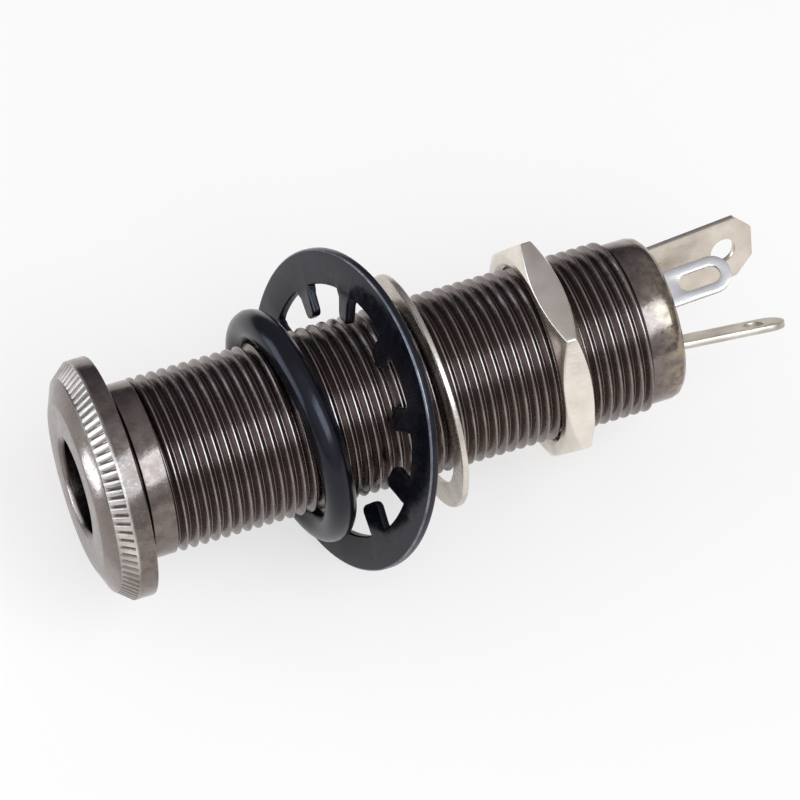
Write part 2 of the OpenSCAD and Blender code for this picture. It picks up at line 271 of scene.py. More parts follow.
on_thread = between(plate_tree, plate_along, THREAD_FADE_IN, THREAD_FADE_OUT)
low_down = fade(plate_tree, plate_radius, GROOVE_R, FLANK_R, after=(1, 0))
in_groove = times(plate_tree, on_thread, low_down)
# painted shade: the grooves of the thread are coloured darker than the plate
plate = mix_colours(plate_tree, in_groove, plate, (0.142, 0.113, 0.105))
die_lines = rescale(plate_tree, clouds(plate_tree, plate_outline, DIE_LINE, detail=2.0),
                    (0.45, 0.65), (0, 0.7))
scored = times(plate_tree, in_groove, die_lines)
plate = mix_colours(plate_tree, scored, plate, (0.26, 0.22, 0.207))
print("grooves are dark up to radius", FLANK_R, "mm, with die lines of", DIE_LINE, "mm")

# %% Rub the crests pale
CREST_PATCH = 1.1

on_crest = times(plate_tree, on_thread, fade(plate_tree, plate_radius, FLANK_R, CREST_R))
patchy = rescale(plate_tree, clouds(plate_tree, plate_where, CREST_PATCH),
                 (0.35, 0.65), (0.3, 0.9))
plate = mix_colours(plate_tree, times(plate_tree, on_crest, patchy), plate, (0.31, 0.285, 0.275))
print("crests are pale from radius", CREST_R, "mm, in patches of", CREST_PATCH, "mm")

# %% [markdown]
# ## Painted shade in corners, rubbed edges
#
# Light hardly reaches the bore or the narrow relief behind the flange, so both carry painted
# shade, the relief a near-black painted shadow line. The rolled rear edge is rubbed to a
# brassy tan. The knurl is scuffed where fingers turn it, and only the tops of its teeth are
# bare, so that wear is measured square to the bevel that carries them. Both are painted
# brighter on the upper side, a painted highlight. Each is one more mask on the same colour,
# the last one lying on top.

# %% Paint shade into the bore and the relief behind the flange
BORE_R, RELIEF_R, RELIEF_X = 3.25, 5.7, 0.52
BORE_DARK, BORE_PALE = BORE_R + 0.03, BORE_R + 0.15
RELIEF_FADE_IN, RELIEF_FADE_OUT = (0.01, 0.05), (RELIEF_X + 0.38, RELIEF_X + 0.48)
RELIEF_DARK, RELIEF_PALE = RELIEF_R + 0.1, RELIEF_R + 0.2

# painted shade: the bore is coloured darker than the plate
bore_painted_shade = fade(plate_tree, plate_radius, BORE_DARK, BORE_PALE, after=(1, 0))
plate = mix_colours(plate_tree, bore_painted_shade, plate, (0.060, 0.050, 0.047))
behind_flange = between(plate_tree, plate_along, RELIEF_FADE_IN, RELIEF_FADE_OUT)
deep_in = fade(plate_tree, plate_radius, RELIEF_DARK, RELIEF_PALE, after=(1, 0))
# painted shadow: a near-black ring in the relief behind the flange
relief_painted_shadow = times(plate_tree, behind_flange, deep_in)
plate = mix_colours(plate_tree, relief_painted_shadow, plate, (0.020, 0.016, 0.015))
print("dark inside radius", BORE_PALE, "mm and in the relief up to", RELIEF_PALE, "mm")

# %% Rub the rear edge
barrel_low, barrel_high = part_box("barrel")
REAR_X = barrel_high.x / MM
EDGE_FROM, EDGE_SURE = REAR_X - 2.3, REAR_X - 0.3
RUB_SIZE = 0.7

near_edge = fade(plate_tree, plate_along, EDGE_FROM, EDGE_SURE)
rubbed = rescale(plate_tree, clouds(plate_tree, plate_where, RUB_SIZE, detail=6.0),
                 (0.40, 0.62), (0, 0.9))
plate = mix_colours(plate_tree, times(plate_tree, near_edge, rubbed), plate, (0.42, 0.35, 0.25))
print("rear edge is rubbed from x =", round(EDGE_FROM, 2), "mm")

# %% Scuff the knurl, with a painted highlight on its upper side
FLANGE_R = barrel_high.y / MM
KNURL_IN_R, KNURL_IN_X = 7.35, -2.35
BAND_FADE, RIM_FADE, BAND_DEPTH = 0.1, 0.05, 0.3
PAINTED_DIM_BELOW, PAINTED_LIT_ABOVE, DIMMED_UNDERSIDE_WEAR = -1.2, 0.9, 0.15
SCUFF = 0.4

# painted highlight: the scuffs and bare tooth tops are paler on the upper side than underneath
lit_upper_side = fade(plate_tree, along_axis(plate_tree, plate_where, "Z"),
                  PAINTED_DIM_BELOW, PAINTED_LIT_ABOVE, after=(DIMMED_UNDERSIDE_WEAR, 1))
across_band = between(plate_tree, plate_along, (KNURL_IN_X, KNURL_IN_X + BAND_FADE),
                      (RIM_X, RIM_X + RIM_FADE))
far_out = fade(plate_tree, plate_radius, KNURL_IN_R - BAND_DEPTH, KNURL_IN_R,
               after=(0, SCUFF))
scuffed = times(plate_tree, times(plate_tree, across_band, far_out), lit_upper_side)
plate = mix_colours(plate_tree, scuffed, plate, (0.52, 0.48, 0.45))
print("knurl is scuffed from x =", KNURL_IN_X, "to", RIM_X, "mm")

# %% Bare the tops of its teeth
WEAR_FROM, WEAR_SURE = 0.15, 0.04
BARE_PATCH = 3.0


def reach(tree, place, direction):
    """How far each place lies in a direction."""
    measure = tree.nodes.new("ShaderNodeVectorMath")
    measure.operation = "DOT_PRODUCT"
    measure.inputs[1].default_value = direction
    tree.links.new(place, measure.inputs[0])
    return measure.outputs["Value"]


square_to_bevel = Vector((KNURL_IN_R - FLANGE_R, RIM_X - KNURL_IN_X, 0)).normalized()
bevel_height = square_to_bevel.dot(Vector((RIM_X, FLANGE_R, 0)))
tooth_top = fade(plate_tree, reach(plate_tree, plate_outline, square_to_bevel),
                 bevel_height - WEAR_FROM, bevel_height - WEAR_SURE)
in_band = fade(plate_tree, plate_along, KNURL_IN_X, KNURL_IN_X + BAND_FADE)
bare_patches = rescale(plate_tree, clouds(plate_tree, plate_where, BARE_PATCH),
                       (0.38, 0.60), (0.25, 1.0))
# real wear on the tooth tops, times the painted highlight that fades towards the underside
bare = times(plate_tree, times(plate_tree, tooth_top, in_band),
             times(plate_tree, bare_patches, lit_upper_side))
plate = mix_colours(plate_tree, bare, plate, (0.74, 0.69, 0.64))
plate_tree.links.new(plate, plate_shader.inputs["Base Color"])
print("bevel stands", round(bevel_height, 2), "mm out, bare in its top", WEAR_FROM, "mm")

# %% Gloss and fine dents of the plate
GRAIN, PLATE_DENT, PLATE_DENT_DEPTH = 0.35, 0.22, 0.006
GROOVE_DULL, BARE_DULL = 0.06, 0.22


def dent(tree, shader, amount, depth):
    """Bumps of this many millimetres where the amount is high."""
    bump = tree.nodes.new("ShaderNodeBump")
    bump.inputs["Distance"].default_value = depth * MM
    tree.links.new(amount, bump.inputs["Height"])
    tree.links.new(bump.outputs["Normal"], shader.inputs["Normal"])


plate_rough = rescale(plate_tree, clouds(plate_tree, plate_where, GRAIN, detail=6.0),
                      (0.3, 0.7), (0.12, 0.26))
for dulled, extra in ((in_groove, GROOVE_DULL), (bare, BARE_DULL)):
    dull = plate_tree.nodes.new("ShaderNodeMath")
    dull.operation = "MULTIPLY_ADD"
    dull.inputs[1].default_value = extra
    plate_tree.links.new(dulled, dull.inputs[0])
    plate_tree.links.new(plate_rough, dull.inputs[2])
    plate_rough = dull.outputs["Value"]
plate_tree.links.new(plate_rough, plate_shader.inputs["Roughness"])
dent(plate_tree, plate_shader, clouds(plate_tree, plate_where, PLATE_DENT, detail=3.0),
     PLATE_DENT_DEPTH)
print(plate_black.name, "has", len(plate_tree.nodes), "nodes")

# %% [markdown]
# ## The barrel's turned body
#
# Flange, collar, neck, rolled rear edge and the inside are one lathe outline, spun about
# the X axis. Its sharp corners are bevelled before the spin, which is cheaper than
# bevelling thousands of edges after it, and every real edge gets the small rounded line
# that catches the light. Under the thread the outline dips to a hidden radius, because the
# helix is a shell of its own. The knurled band is turned to the bottom of its grooves,
# which run out just before the rim, and the teeth are added on top.

# %% Spin an outline
AROUND, FINE_AROUND = 128, 192


def soften(bm, parts, size, segments, affect="EDGES", clamp=False):
    """Round edges or corners by this many millimetres."""
    bmesh.ops.bevel(bm, geom=parts, offset=size * MM, offset_type="OFFSET", segments=segments,
                    profile=0.5, affect=affect, material=-1, clamp_overlap=clamp)


def spin_round(bm, steps):
    """A full turn of an outline about the axis, closed where it ends."""
    bmesh.ops.spin(bm, geom=bm.verts[:] + bm.edges[:], cent=CENTRE, axis=AXIS,
                   angle=math.tau, steps=steps, use_merge=True)


def turn(outline, steps=AROUND):
    """Spin a closed outline of (x, radius, corner rounding) in millimetres."""
    bm = bmesh.new()
    corners = [bm.verts.new((x * MM, 0, r * MM)) for x, r, _ in outline]
    for first, second in zip(corners, corners[1:] + corners[:1]):
        bm.edges.new((first, second))
    for corner, (_, _, rounding) in zip(corners, outline):
        if rounding:
            soften(bm, [corner], rounding, segments=3, affect="VERTICES")
    spin_round(bm, steps)
    return bm


print("one step of a fine spin is", 360 / FINE_AROUND, "degrees")

# %% Measure the knurled bevel
KNURL_DEPTH, KNURL_RAMP, KNURL_RUN_OUT = 0.2, 0.35, 0.12

band = Vector((RIM_X - KNURL_IN_X, 0, FLANGE_R - KNURL_IN_R))
down_band = band.normalized()
into_band = Vector((down_band.z, 0, -down_band.x))
band_start = Vector((KNURL_IN_X, 0, KNURL_IN_R))
groove_start = band_start + down_band * KNURL_RAMP + into_band * KNURL_DEPTH
groove_end = (band_start + down_band * (band.length - KNURL_RUN_OUT)
              + into_band * KNURL_DEPTH)
print("knurled band is", round(band.length, 2), "mm wide")

# %% Turn the body
FACE_X = barrel_low.x / MM
FACE_R, MOUTH_R = 5.8, 3.55
COLLAR_R, NECK_R, HIDDEN_R = 5.95, 5.65, 5.3
SEAT_R, LIP_R = 5.0, 4.7
LIP_X, STACK_X, BUSHING_X = 37.5, 33.2, 11.0

barrel_bm = turn([
    (FACE_X, MOUTH_R, 0.06),
    (FACE_X, FACE_R, 0.14),
    (KNURL_IN_X, KNURL_IN_R, 0.05),
    (groove_start.x, groove_start.z, 0),
    (groove_end.x, groove_end.z, 0),
    (RIM_X, FLANGE_R, 0.04),
    (0, FLANGE_R, 0.1),
    (0, RELIEF_R, 0),
    (RELIEF_X, RELIEF_R, 0.06),
    (RELIEF_X, COLLAR_R, 0.06),
    (THREAD_START, COLLAR_R, 0.08),
    (THREAD_START, HIDDEN_R, 0),
    (THREAD_END, HIDDEN_R, 0),
    (THREAD_END, NECK_R, 0.08),
    (REAR_X, NECK_R, 0.8),
    (REAR_X, LIP_R, 0.04),
    (LIP_X, LIP_R, 0),
    (LIP_X, SEAT_R, 0),
    (STACK_X, SEAT_R, 0),
    (STACK_X, LIP_R, 0),
    (BUSHING_X + LIP_R - BORE_R, LIP_R, 0),
    (BUSHING_X, BORE_R, 0.05),
    (FACE_X + MOUTH_R - BORE_R, BORE_R, 0.06),
], steps=FINE_AROUND)
print("turned body:", len(barrel_bm.faces), "faces")

# %% [markdown]
# ## The thread
#
# A single ridge is spun once round while it slides along the axis by one pitch. Copies of
# that turn then follow each other along the barrel, and the end of each lands on the start
# of the next. They begin and end a turn too far, and a flat cut at each end leaves a clean
# face, as the die does. Two rings and a tube inside the wall close the shell. Plain rings
# would be simpler, but a thread that climbs is what the eye expects.

# %% Wind the helix
PITCH = 0.75
ROOT_R, CREST_ROUND = 5.54, 0.022
RIDGE = ((0, ROOT_R), (0.06, ROOT_R), (0.46, THREAD_R), (0.60, THREAD_R), (1, ROOT_R))
STEPS_A_TURN = 72
SAME_PLACE = 0.0005 * MM


def everything(bm):
    return bm.verts[:] + bm.edges[:] + bm.faces[:]


thread_turns = round((THREAD_END - THREAD_START) / PITCH) + 2
thread_bm = bmesh.new()
ridge_points = [thread_bm.verts.new(((THREAD_START + (share - 1) * PITCH) * MM, 0, r * MM))
                for share, r in RIDGE]
for first, second in zip(ridge_points, ridge_points[1:]):
    thread_bm.edges.new((first, second))
soften(thread_bm, ridge_points[2:4], CREST_ROUND, segments=2, affect="VERTICES")
bmesh.ops.spin(thread_bm, geom=everything(thread_bm), cent=CENTRE, axis=AXIS,
               dvec=AXIS * (PITCH / STEPS_A_TURN * MM), angle=math.tau, steps=STEPS_A_TURN)
bmesh.ops.spin(thread_bm, geom=everything(thread_bm), cent=CENTRE, axis=AXIS,
               dvec=AXIS * (PITCH * MM), angle=0, steps=thread_turns - 1, use_duplicate=True)
bmesh.ops.remove_doubles(thread_bm, verts=thread_bm.verts[:], dist=SAME_PLACE)
print("helix:", thread_turns, "turns,", len(thread_bm.faces), "faces")

# %% Cut the ends and close the shell
TUBE_R = HIDDEN_R - 0.1


def edges_of(parts):
    return [part for part in parts if isinstance(part, bmesh.types.BMEdge)]


def corners_of(parts):
    return [part for part in parts if isinstance(part, bmesh.types.BMVert)]


def slice_off(bm, place, facing):
    """Cut away what lies past a plane, and return the edges of the cut."""
    cut = bmesh.ops.bisect_plane(bm, geom=everything(bm), dist=SAME_PLACE,
                                 plane_co=place, plane_no=facing, clear_outer=True)
    return edges_of(cut["geom_cut"])


end_loops = []
for end_x, side in ((THREAD_START, -1), (THREAD_END, 1)):
    rim = slice_off(thread_bm, AXIS * (end_x * MM), AXIS * side)
    ring = bmesh.ops.extrude_edge_only(thread_bm, edges=rim)["geom"]
    for corner in corners_of(ring):
        inward = Vector((0, corner.co.y, corner.co.z)).normalized() * TUBE_R * MM
        corner.co.y, corner.co.z = inward.y, inward.z
    end_loops += edges_of(ring)
bmesh.ops.bridge_loops(thread_bm, edges=[edge for edge in end_loops if edge.is_boundary])
print("thread closed:", sum(1 for edge in thread_bm.edges if edge.is_boundary), "open edges")

# %% Join the thread to the body
def add_shell(bm, shell):
    mesh = bpy.data.meshes.new("shell")
    shell.to_mesh(mesh)
    shell.free()
    bm.from_mesh(mesh)
    bpy.data.meshes.remove(mesh)


add_shell(barrel_bm, thread_bm)
print("thread joined,", len(barrel_bm.faces), "faces in all")

# %% [markdown]
# ## The knurl
#
# A knurling wheel presses straight teeth into the outer bevel. One tooth is a box with its
# top squeezed to a ridge, laid along the bevel and trimmed flush with the rim. Spinning
# copies of it about the axis gives the whole band. Bump in the finish could fake it, but
# then the outline of the flange would stay smooth.

# %% Shape one tooth
KNURL_TEETH = 80
TOOTH_BASE, TOOTH_TOP, TOOTH_INSET = 0.58, 0.32, 0.03
TOOTH_ROUND, TOOTH_SINK = 0.05, 0.02

tooth_length = band.length - TOOTH_INSET + 2 * KNURL_DEPTH
tooth_bm = bmesh.new()
bmesh.ops.create_cube(tooth_bm, size=1)
bmesh.ops.translate(tooth_bm, vec=(0.5, 0, 0.5), verts=tooth_bm.verts[:])
bmesh.ops.scale(tooth_bm, vec=Vector((tooth_length, TOOTH_BASE, KNURL_DEPTH)) * MM,
                verts=tooth_bm.verts[:])
top_corners = [corner for corner in tooth_bm.verts if corner.co.z > KNURL_DEPTH / 2 * MM]
bmesh.ops.scale(tooth_bm, vec=(1, TOOTH_TOP / TOOTH_BASE, 1), verts=top_corners)
top_edges = [edge for edge in tooth_bm.edges if all(v in top_corners for v in edge.verts)]
soften(tooth_bm, top_edges, TOOTH_ROUND, segments=2)
print("one tooth:", len(tooth_bm.faces), "faces,", round(tooth_length, 2), "mm long")

# %% Lay it on the bevel, trim it and repeat it
TRIM_R = FLANGE_R - 0.01

tooth_start = band_start + down_band * TOOTH_INSET + into_band * KNURL_DEPTH
bmesh.ops.translate(tooth_bm, vec=(0, 0, -TOOTH_SINK * MM), verts=tooth_bm.verts[:])
bmesh.ops.rotate(tooth_bm, cent=CENTRE, verts=tooth_bm.verts[:],
                 matrix=Matrix.Rotation(-math.atan2(band.z, band.x), 3, "Y"))
bmesh.ops.translate(tooth_bm, vec=tooth_start * MM, verts=tooth_bm.verts[:])
trim = slice_off(tooth_bm, (0, 0, TRIM_R * MM), (0, 0, 1))
bmesh.ops.contextual_create(tooth_bm, geom=trim)
bmesh.ops.spin(tooth_bm, geom=everything(tooth_bm), cent=CENTRE, axis=AXIS,
               angle=math.tau * (KNURL_TEETH - 1) / KNURL_TEETH,
               steps=KNURL_TEETH - 1, use_duplicate=True)
add_shell(barrel_bm, tooth_bm)
print("knurl:", KNURL_TEETH, "teeth")

# %% Finish the barrel
CREASE = math.radians(32)


def close_up(bm):
    bmesh.ops.remove_doubles(bm, verts=bm.verts[:], dist=SAME_PLACE)
    bmesh.ops.recalc_face_normals(bm, faces=bm.faces[:])


def finish_piece(name, bm, finish, body, node):
    """Make an object of a bmesh, in place of a solid and on the same body."""
    close_up(bm)
    for face in bm.faces:
        face.smooth = True
    open_edges = sum(1 for edge in bm.edges if not edge.is_manifold)
    mesh = bpy.data.meshes.new(name)
    bm.to_mesh(mesh)
    bm.free()
    mesh.set_sharp_from_angle(angle=CREASE)
    mesh.materials.append(finish)
    piece = bpy.data.objects.new(name, mesh)
    bpy.context.scene.collection.objects.link(piece)
    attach(piece, body)
    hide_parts(node)
    print(name, "faces", len(mesh.polygons), "open edges", open_edges)


finish_piece("turned_barrel", barrel_bm, plate_black, "jack", "barrel")

# %% [markdown]
# ## The rubber ring
#
# An O-ring is moulded in two halves, which leaves a faint line round its outside. Rubber is
# nearly black, with dust in its pores and a broad bluish sheen. The round section is spun
# into a ring, with its outermost row pulled out a hair for the mould line. A ready-made
# torus would do, but it has no such line. The ring is then leaned as it hangs on the thread.

# %% Rubber
RUBBER_DUST, RUBBER_GRAIN, RUBBER_PORE, RUBBER_PORE_DEPTH = 1.4, 0.5, 0.12, 0.004


def set_colour(tree, shader, colour):
    tree.links.new(colour, shader.inputs["Base Color"])


def set_rough(tree, shader, pattern, smooth, rough):
    """Gloss that follows a noise, whose middle lies between 0.3 and 0.7."""
    tree.links.new(rescale(tree, pattern, (0.3, 0.7), (smooth, rough)),
                   shader.inputs["Roughness"])


ring_rubber, rubber_tree, rubber_shader = new_finish(
    "ring_rubber", metal=0.0, gloss_tint=(0.82, 0.84, 1.0))
rubber_where = lay_out(rubber_tree)
dust = clouds(rubber_tree, rubber_where, RUBBER_DUST, detail=6.0)
set_colour(rubber_tree, rubber_shader, colour_steps(rubber_tree, dust, [
    (0.35, (0.002, 0.002, 0.0035)),
    (0.60, (0.003, 0.0035, 0.0055)),
    (0.78, (0.009, 0.010, 0.013)),
]))
set_rough(rubber_tree, rubber_shader, clouds(rubber_tree, rubber_where, RUBBER_GRAIN),
          0.15, 0.25)
rubber_shader.inputs["Specular IOR Level"].default_value = 0.385
pores = clouds(rubber_tree, rubber_where, RUBBER_PORE, detail=2.0)
dent(rubber_tree, rubber_shader, pores, RUBBER_PORE_DEPTH)
print("finish:", ring_rubber.name)

# %% Spin the rubber ring and lean it
CORD_R, RING_R, CORD_STEPS = 1.05, 7.25, 32
MOULD_LINE = 0.02
RING_LEAN_DOWN, RING_LEAN_ASIDE = -1, 7.2


def hang(bm, node, lean_down, lean_aside):
    """Turn a ring made round the axis to its lean, at the middle of its solid."""
    low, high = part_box(node)
    place = (Matrix.Translation((low + high) / 2)
             @ Matrix.Rotation(math.radians(lean_aside), 4, "Z")
             @ Matrix.Rotation(math.radians(lean_down), 4, "Y"))
    bmesh.ops.transform(bm, matrix=place, verts=bm.verts[:])


cord_bm = bmesh.new()
bmesh.ops.create_circle(cord_bm, segments=CORD_STEPS, radius=CORD_R * MM,
                        matrix=Matrix.Translation((0, 0, RING_R * MM))
                        @ Matrix.Rotation(math.radians(90), 4, "X"))
outermost = max(cord_bm.verts, key=lambda corner: corner.co.z)
outermost.co.z += MOULD_LINE * MM
spin_round(cord_bm, AROUND)
hang(cord_bm, "o_ring", RING_LEAN_DOWN, RING_LEAN_ASIDE)
finish_piece("rubber_ring", cord_bm, ring_rubber, "jack", "o_ring")

# %% [markdown]
# ## Blackened steel
#
# The lock washer is steel with a blue-black oxide skin, which is thin and smooth. It reflects
# like a varnish and not like bare metal, so the finish isn't metallic, except on the front
# edge of the rim, where handling has worn the skin through. The washer leans, so that edge
# is measured from the washer's own axis: a Mapping node undoes the lean first.

# %% Find the worn front edge
LOCK_R, LOCK_T, LOCK_ROUND = 11.0, 0.6, 0.13
LOCK_LEAN_DOWN, LOCK_LEAN_ASIDE = 15.4, 9.2
EDGE_BEFORE, EDGE_PAST, EDGE_PATCH = 0.005, 0.03, 1.2

lock_low, lock_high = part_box("lock_washer")
steel_black, steel_tree, steel_shader = new_finish(
    "blackened_steel", metal=0.0, gloss_tint=(0.85, 0.84, 1.0))
steel_where = lay_out(steel_tree)
upright = steel_tree.nodes.new("ShaderNodeMapping")
upright.vector_type = "TEXTURE"
upright.inputs["Location"].default_value = (lock_low + lock_high) / 2
upright.inputs["Rotation"].default_value = (
    0, math.radians(LOCK_LEAN_DOWN), math.radians(LOCK_LEAN_ASIDE))
steel_tree.links.new(steel_where, upright.inputs["Vector"])
washer_place = upright.outputs["Vector"]
washer_outline = on_outline(steel_tree, along_axis(steel_tree, washer_place),
                            from_axis(steel_tree, washer_place))
edge_start = LOCK_R + LOCK_T / 2 - LOCK_ROUND
on_edge = fade(steel_tree, reach(steel_tree, washer_outline, (-1, 1, 0)),
               edge_start - EDGE_BEFORE, edge_start + EDGE_PAST)
edge_patches = rescale(steel_tree, clouds(steel_tree, steel_where, EDGE_PATCH),
                       (0.35, 0.6), (0.4, 1.0))
worn_edge = times(steel_tree, on_edge, edge_patches)
print("worn edge is", LOCK_ROUND, "mm wide")

# %% Blacken the rest
STEEL_STAIN, STEEL_GRAIN, STEEL_DENT, STEEL_DENT_DEPTH = 3.0, 0.6, 0.3, 0.005

stain = clouds(steel_tree, steel_where, STEEL_STAIN)
oxide = colour_steps(steel_tree, stain, [
    (0.32, (0.002, 0.0022, 0.004)),
    (0.58, (0.0035, 0.004, 0.0065)),
    (0.80, (0.010, 0.011, 0.015)),
])
set_colour(steel_tree, steel_shader,
           mix_colours(steel_tree, worn_edge, oxide, (0.24, 0.25, 0.28)))
steel_tree.links.new(worn_edge, steel_shader.inputs["Metallic"])
steel_shader.inputs["Specular IOR Level"].default_value = 0.415
set_rough(steel_tree, steel_shader, clouds(steel_tree, steel_where, STEEL_GRAIN), 0.18, 0.32)
dents = clouds(steel_tree, steel_where, STEEL_DENT, detail=3.0)
dent(steel_tree, steel_shader, dents, STEEL_DENT_DEPTH)
print("finish:", steel_black.name)

# %% [markdown]
# ## The toothed lock washer
#
# This washer is stamped from sheet and its inner teeth are twisted, so that they bite. A
# tenth of it is made flat: an arc of sheet with one tooth drawn inwards row by row. Each
# row is turned a little further than the last, and that is the twist. Ten copies are
# merged, the sheet gets its thickness, and every cut edge is rounded. Cutting teeth out of
# a whole disc would work too, but then every tooth has to be twisted by itself.

# %% Draw one tenth of the washer
LOCK_ROOT_R, LOCK_TIP_R = 8.6, 6.5
LOCK_TEETH, ARC_STEPS, TOOTH_STEPS = 10, 12, 4
TENTH = math.tau / LOCK_TEETH
ROOT_MARGIN = 0.1

lock_bm = bmesh.new()
sheet_edge = [lock_bm.verts.new((0, 0, r * MM)) for r in (LOCK_ROOT_R, LOCK_R)]
lock_bm.edges.new(sheet_edge)
bmesh.ops.rotate(lock_bm, cent=CENTRE, verts=lock_bm.verts[:],
                 matrix=Matrix.Rotation(-TENTH / 2, 3, "X"))
bmesh.ops.spin(lock_bm, geom=lock_bm.verts[:] + lock_bm.edges[:], cent=CENTRE, axis=AXIS,
               angle=TENTH, steps=ARC_STEPS)


def middle_of_root(edge):
    middle = (edge.verts[0].co + edge.verts[1].co) / 2
    half_tooth = TENTH / ARC_STEPS * TOOTH_STEPS / 2
    return (middle.length < (LOCK_ROOT_R + ROOT_MARGIN) * MM
            and abs(math.atan2(middle.y, middle.z)) < half_tooth)


tooth_edges = [edge for edge in lock_bm.edges if edge.is_boundary and middle_of_root(edge)]
print("tooth starts from", len(tooth_edges), "edges")

# %% Draw the tooth inwards and twist it
TOOTH_W, TOOTH_TWIST, TIP_ROUND = 1.6, -12, 0.4
# Each row: radius, share of the width, share of the twist.
TOOTH_ROWS = ((8.35, 1.12, 0.25), (8.0, 1.0, 0.7), (LOCK_TIP_R + TIP_ROUND, 1.0, 1.0),
              (LOCK_TIP_R + 0.3 * TIP_ROUND, 0.85, 1.0), (LOCK_TIP_R, 0.5, 1.0))

for row_r, width, twist in TOOTH_ROWS:
    row = bmesh.ops.extrude_edge_only(lock_bm, edges=tooth_edges)["geom"]
    tooth_edges = edges_of(row)
    row_corners = sorted(corners_of(row), key=lambda corner: corner.co.y)
    turned = math.radians(TOOTH_TWIST * twist)
    for number, corner in enumerate(row_corners):
        across = (number / TOOTH_STEPS - 0.5) * TOOTH_W * width
        corner.co = Vector((-across * math.sin(turned), across * math.cos(turned), row_r)) * MM
bmesh.ops.spin(lock_bm, geom=everything(lock_bm), cent=CENTRE, axis=AXIS,
               angle=math.tau - TENTH, steps=LOCK_TEETH - 1, use_duplicate=True)
close_up(lock_bm)
print("lock washer sheet:", len(lock_bm.faces), "faces")

# %% Give the sheet its thickness and round its edges
LOCK_TURN = 15


def thicken(bm, thickness, along):
    """Thicken a sheet evenly to both sides of where it was drawn."""
    middle = sum((corner.co.dot(along) for corner in bm.verts), 0.0) / len(bm.verts)
    bmesh.ops.solidify(bm, geom=bm.faces[:], thickness=thickness * MM)
    shifted = sum((corner.co.dot(along) for corner in bm.verts), 0.0) / len(bm.verts)
    bmesh.ops.translate(bm, vec=along * (middle - shifted), verts=bm.verts[:])


def round_edges(bm, size, sharper_than=35, segments=2):
    """Round every edge that is sharper than this many degrees."""
    sharp = [edge for edge in bm.edges
             if edge.is_manifold and edge.calc_face_angle() > math.radians(sharper_than)]
    soften(bm, sharp, size, segments, clamp=True)


thicken(lock_bm, LOCK_T, AXIS)
round_edges(lock_bm, LOCK_ROUND, segments=3)
bmesh.ops.rotate(lock_bm, cent=CENTRE, verts=lock_bm.verts[:],
                 matrix=Matrix.Rotation(math.radians(LOCK_TURN), 3, "X"))
hang(lock_bm, "lock_washer", LOCK_LEAN_DOWN, LOCK_LEAN_ASIDE)
finish_piece("toothed_washer", lock_bm, steel_black, "jack", "lock_washer")

# %% [markdown]
# ## Nickel and the plain washer
#
# The washer and the nut are nickel plated, brighter than the barrel and with a warm cream
# cast. The plate on the tumbled washer is duller than on the milled nut. Both carry fine
# scratches that run along X, so the noise is stretched that way, and one helper makes both
# finishes. The washer is a spun rectangle with soft corners.

# %% Nickel, bright and dull
METAL_DRIFT, SCRATCH, SCRATCH_DEPTH = 1.8, 0.10, 0.004
SCRATCH_STRETCH = (0.12, 1, 1)


def scratched_metal(name, deep, light, smooth, rough):
    """Metal that drifts between two colours under fine scratches."""
    finish, tree, shader = new_finish(name, metal=1.0)
    drift = clouds(tree, lay_out(tree), METAL_DRIFT, detail=6.0)
    set_colour(tree, shader, colour_steps(tree, drift, [(0.30, deep), (0.68, light)]))
    scratches = clouds(tree, lay_out(tree, SCRATCH_STRETCH), SCRATCH, detail=3.0)
    set_rough(tree, shader, scratches, smooth, rough)
    dent(tree, shader, scratches, SCRATCH_DEPTH)
    print("finish:", name)
    return finish


nickel_bright = scratched_metal("bright_nickel_plate", (0.72, 0.66, 0.575),
                                (0.87, 0.815, 0.735), 0.12, 0.24)
nickel_dull = scratched_metal("dull_nickel_plate", (0.55, 0.50, 0.43),
                              (0.74, 0.69, 0.62), 0.20, 0.38)

# %% Spin the plain washer
FLAT_IN_R, FLAT_OUT_R, FLAT_T = 6.5, 8.2, 0.45
FLAT_LEAN_DOWN, FLAT_LEAN_ASIDE = -1.1, 2.2

half = FLAT_T / 2
flat_bm = turn([
    (-half, FLAT_IN_R, 0.08),
    (-half, FLAT_OUT_R, 0.14),
    (half, FLAT_OUT_R, 0.1),
    (half, FLAT_IN_R, 0.08),
])
hang(flat_bm, "flat_washer", FLAT_LEAN_DOWN, FLAT_LEAN_ASIDE)
finish_piece("plain_washer", flat_bm, nickel_dull, "jack", "flat_washer")

# %% [markdown]
# ## The panel nut
#
# The nut is made as a machinist would: a blank is turned with its chamfers, and then six
# flats are milled off it. The curved line where a flat meets the chamfer then comes out by
# itself, which a six-sided prism with bevelled edges never gets right. The nut is on a body
# of its own, because it travels along the thread.

# %% Turn the blank of the nut
nut_low, nut_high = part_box("hex_nut")
NUT_FRONT, NUT_BACK = nut_low.x / MM, nut_high.x / MM
NUT_FLAT_R, NUT_BORE_R, NUT_EDGE = 7.15, 6.05, 0.15
NUT_CHAMFER = 30

